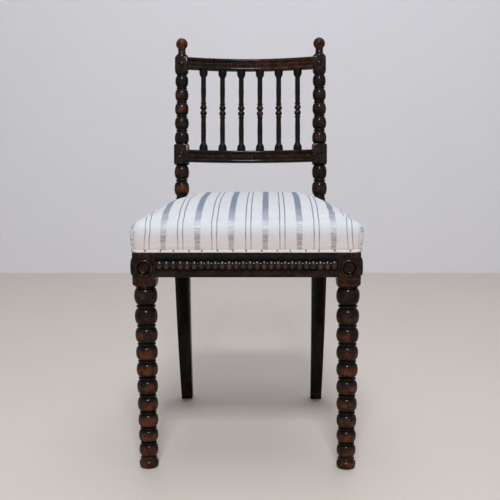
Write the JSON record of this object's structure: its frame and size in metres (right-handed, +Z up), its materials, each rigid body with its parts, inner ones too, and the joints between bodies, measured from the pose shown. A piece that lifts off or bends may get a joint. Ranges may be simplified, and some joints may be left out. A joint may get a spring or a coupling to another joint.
{
  "type": "side chair",
  "caption": "Ebonised side chair with bobbin-turned front legs and back posts, a bowed spindle back and a crowned, stuffed seat in striped cloth, for sitting at a table.",
  "frame": {"origin": "on the floor, under the middle of the chair's bounding box", "axes": "+X to the right as the chair's front is seen, +Y from the front to the back, +Z up"},
  "size_m": [0.4104, 0.469, 0.8091],
  "materials": {
    "ebonised_wood": "satin",
    "raw_wood": "matt",
    "screw_steel": "dull",
    "jute_webbing": "matt",
    "hessian": "matt",
    "stuffing": "matt",
    "striped_cloth": "matt"
  },
  "bodies": {
    "root": {"base_hessian": "hessian", "block_buttons": "ebonised_wood", "corner_block_screws": "screw_steel", "crest_rail": "ebonised_wood", "first_stuffing": "stuffing", "front_bobbin_moulding": "ebonised_wood", "front_corner_block_left": "raw_wood", "front_corner_block_right": "raw_wood", "front_leg_left": "ebonised_wood", "front_leg_right": "ebonised_wood", "front_rail": "ebonised_wood", "front_roundel_left": "ebonised_wood", "front_roundel_right": "ebonised_wood", "lower_back_rail": "ebonised_wood", "rear_corner_block_left": "raw_wood", "rear_corner_block_right": "raw_wood", "rear_post_left": "ebonised_wood", "rear_post_right": "ebonised_wood", "rear_rail": "ebonised_wood", "seat_cover": "striped_cloth", "second_stuffing": "stuffing", "side_rail_left": "ebonised_wood", "side_rail_right": "ebonised_wood", "side_roundel_left": "ebonised_wood", "side_roundel_right": "ebonised_wood", "spindle_1": "ebonised_wood", "spindle_2": "ebonised_wood", "spindle_3": "ebonised_wood", "spindle_4": "ebonised_wood", "spindle_5": "ebonised_wood", "spindle_6": "ebonised_wood", "webbing_crosswise": "jute_webbing", "webbing_lengthwise": "jute_webbing"}
  },
  "joints": []
}
